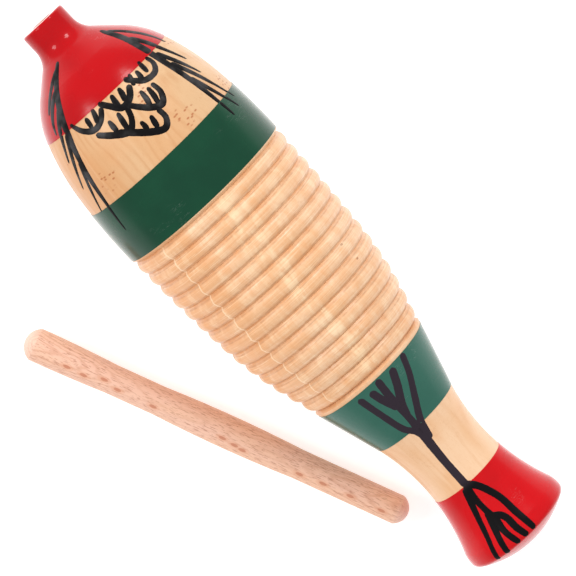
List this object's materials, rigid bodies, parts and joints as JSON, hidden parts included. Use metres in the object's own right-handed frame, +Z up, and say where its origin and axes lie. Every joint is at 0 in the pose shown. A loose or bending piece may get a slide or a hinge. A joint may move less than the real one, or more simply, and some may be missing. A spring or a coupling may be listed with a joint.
{
  "type": "guiro",
  "caption": "Fish-shaped turned wooden guiro, hollow and painted in bands, with rubbing ridges round its belly and a loose wooden scraper stick; scraped to make a rasping sound.",
  "frame": {"origin": "middle of the floor area that the lying guiro and its scraper stick take up together", "axes": "+X runs along the guiro from mouth to tail, +Z is up, and the floor is Z = 0. The guiro lies on a ridge crest and the rim of its tail, so its axis drops 5.66 degrees towards the tail. The stick lies on its -Y side."},
  "size_m": [0.3054, 0.1468, 0.0882],
  "materials": {
    "body_wood": "clear gloss lacquer over pale turned wood",
    "body_wood_lower": "clear gloss lacquer over pale turned wood",
    "red_paint": "red gloss paint on wood",
    "green_paint": "dark green gloss paint on wood",
    "sage_paint": "pale green gloss paint on wood",
    "brush_paint": "black brush marks on the lacquer and the paint, in the visual model only",
    "stick_wood": "plain sanded beech"
  },
  "bodies": {
    "guiro": {"body_shell_upper": "body_wood", "body_shell_lower": "body_wood_lower", "coat_red_head": "red_paint", "coat_green_front": "green_paint", "coat_green_rear": "sage_paint", "coat_red_tail": "red_paint"},
    "scraper": {"scraper_stick": "stick_wood"}
  },
  "joints": [
    {"name": "scraper_lift", "type": "slide", "parent": "guiro", "child": "scraper", "axis": [0, 0, 1], "range_m": [0, 0.15]}
  ]
}
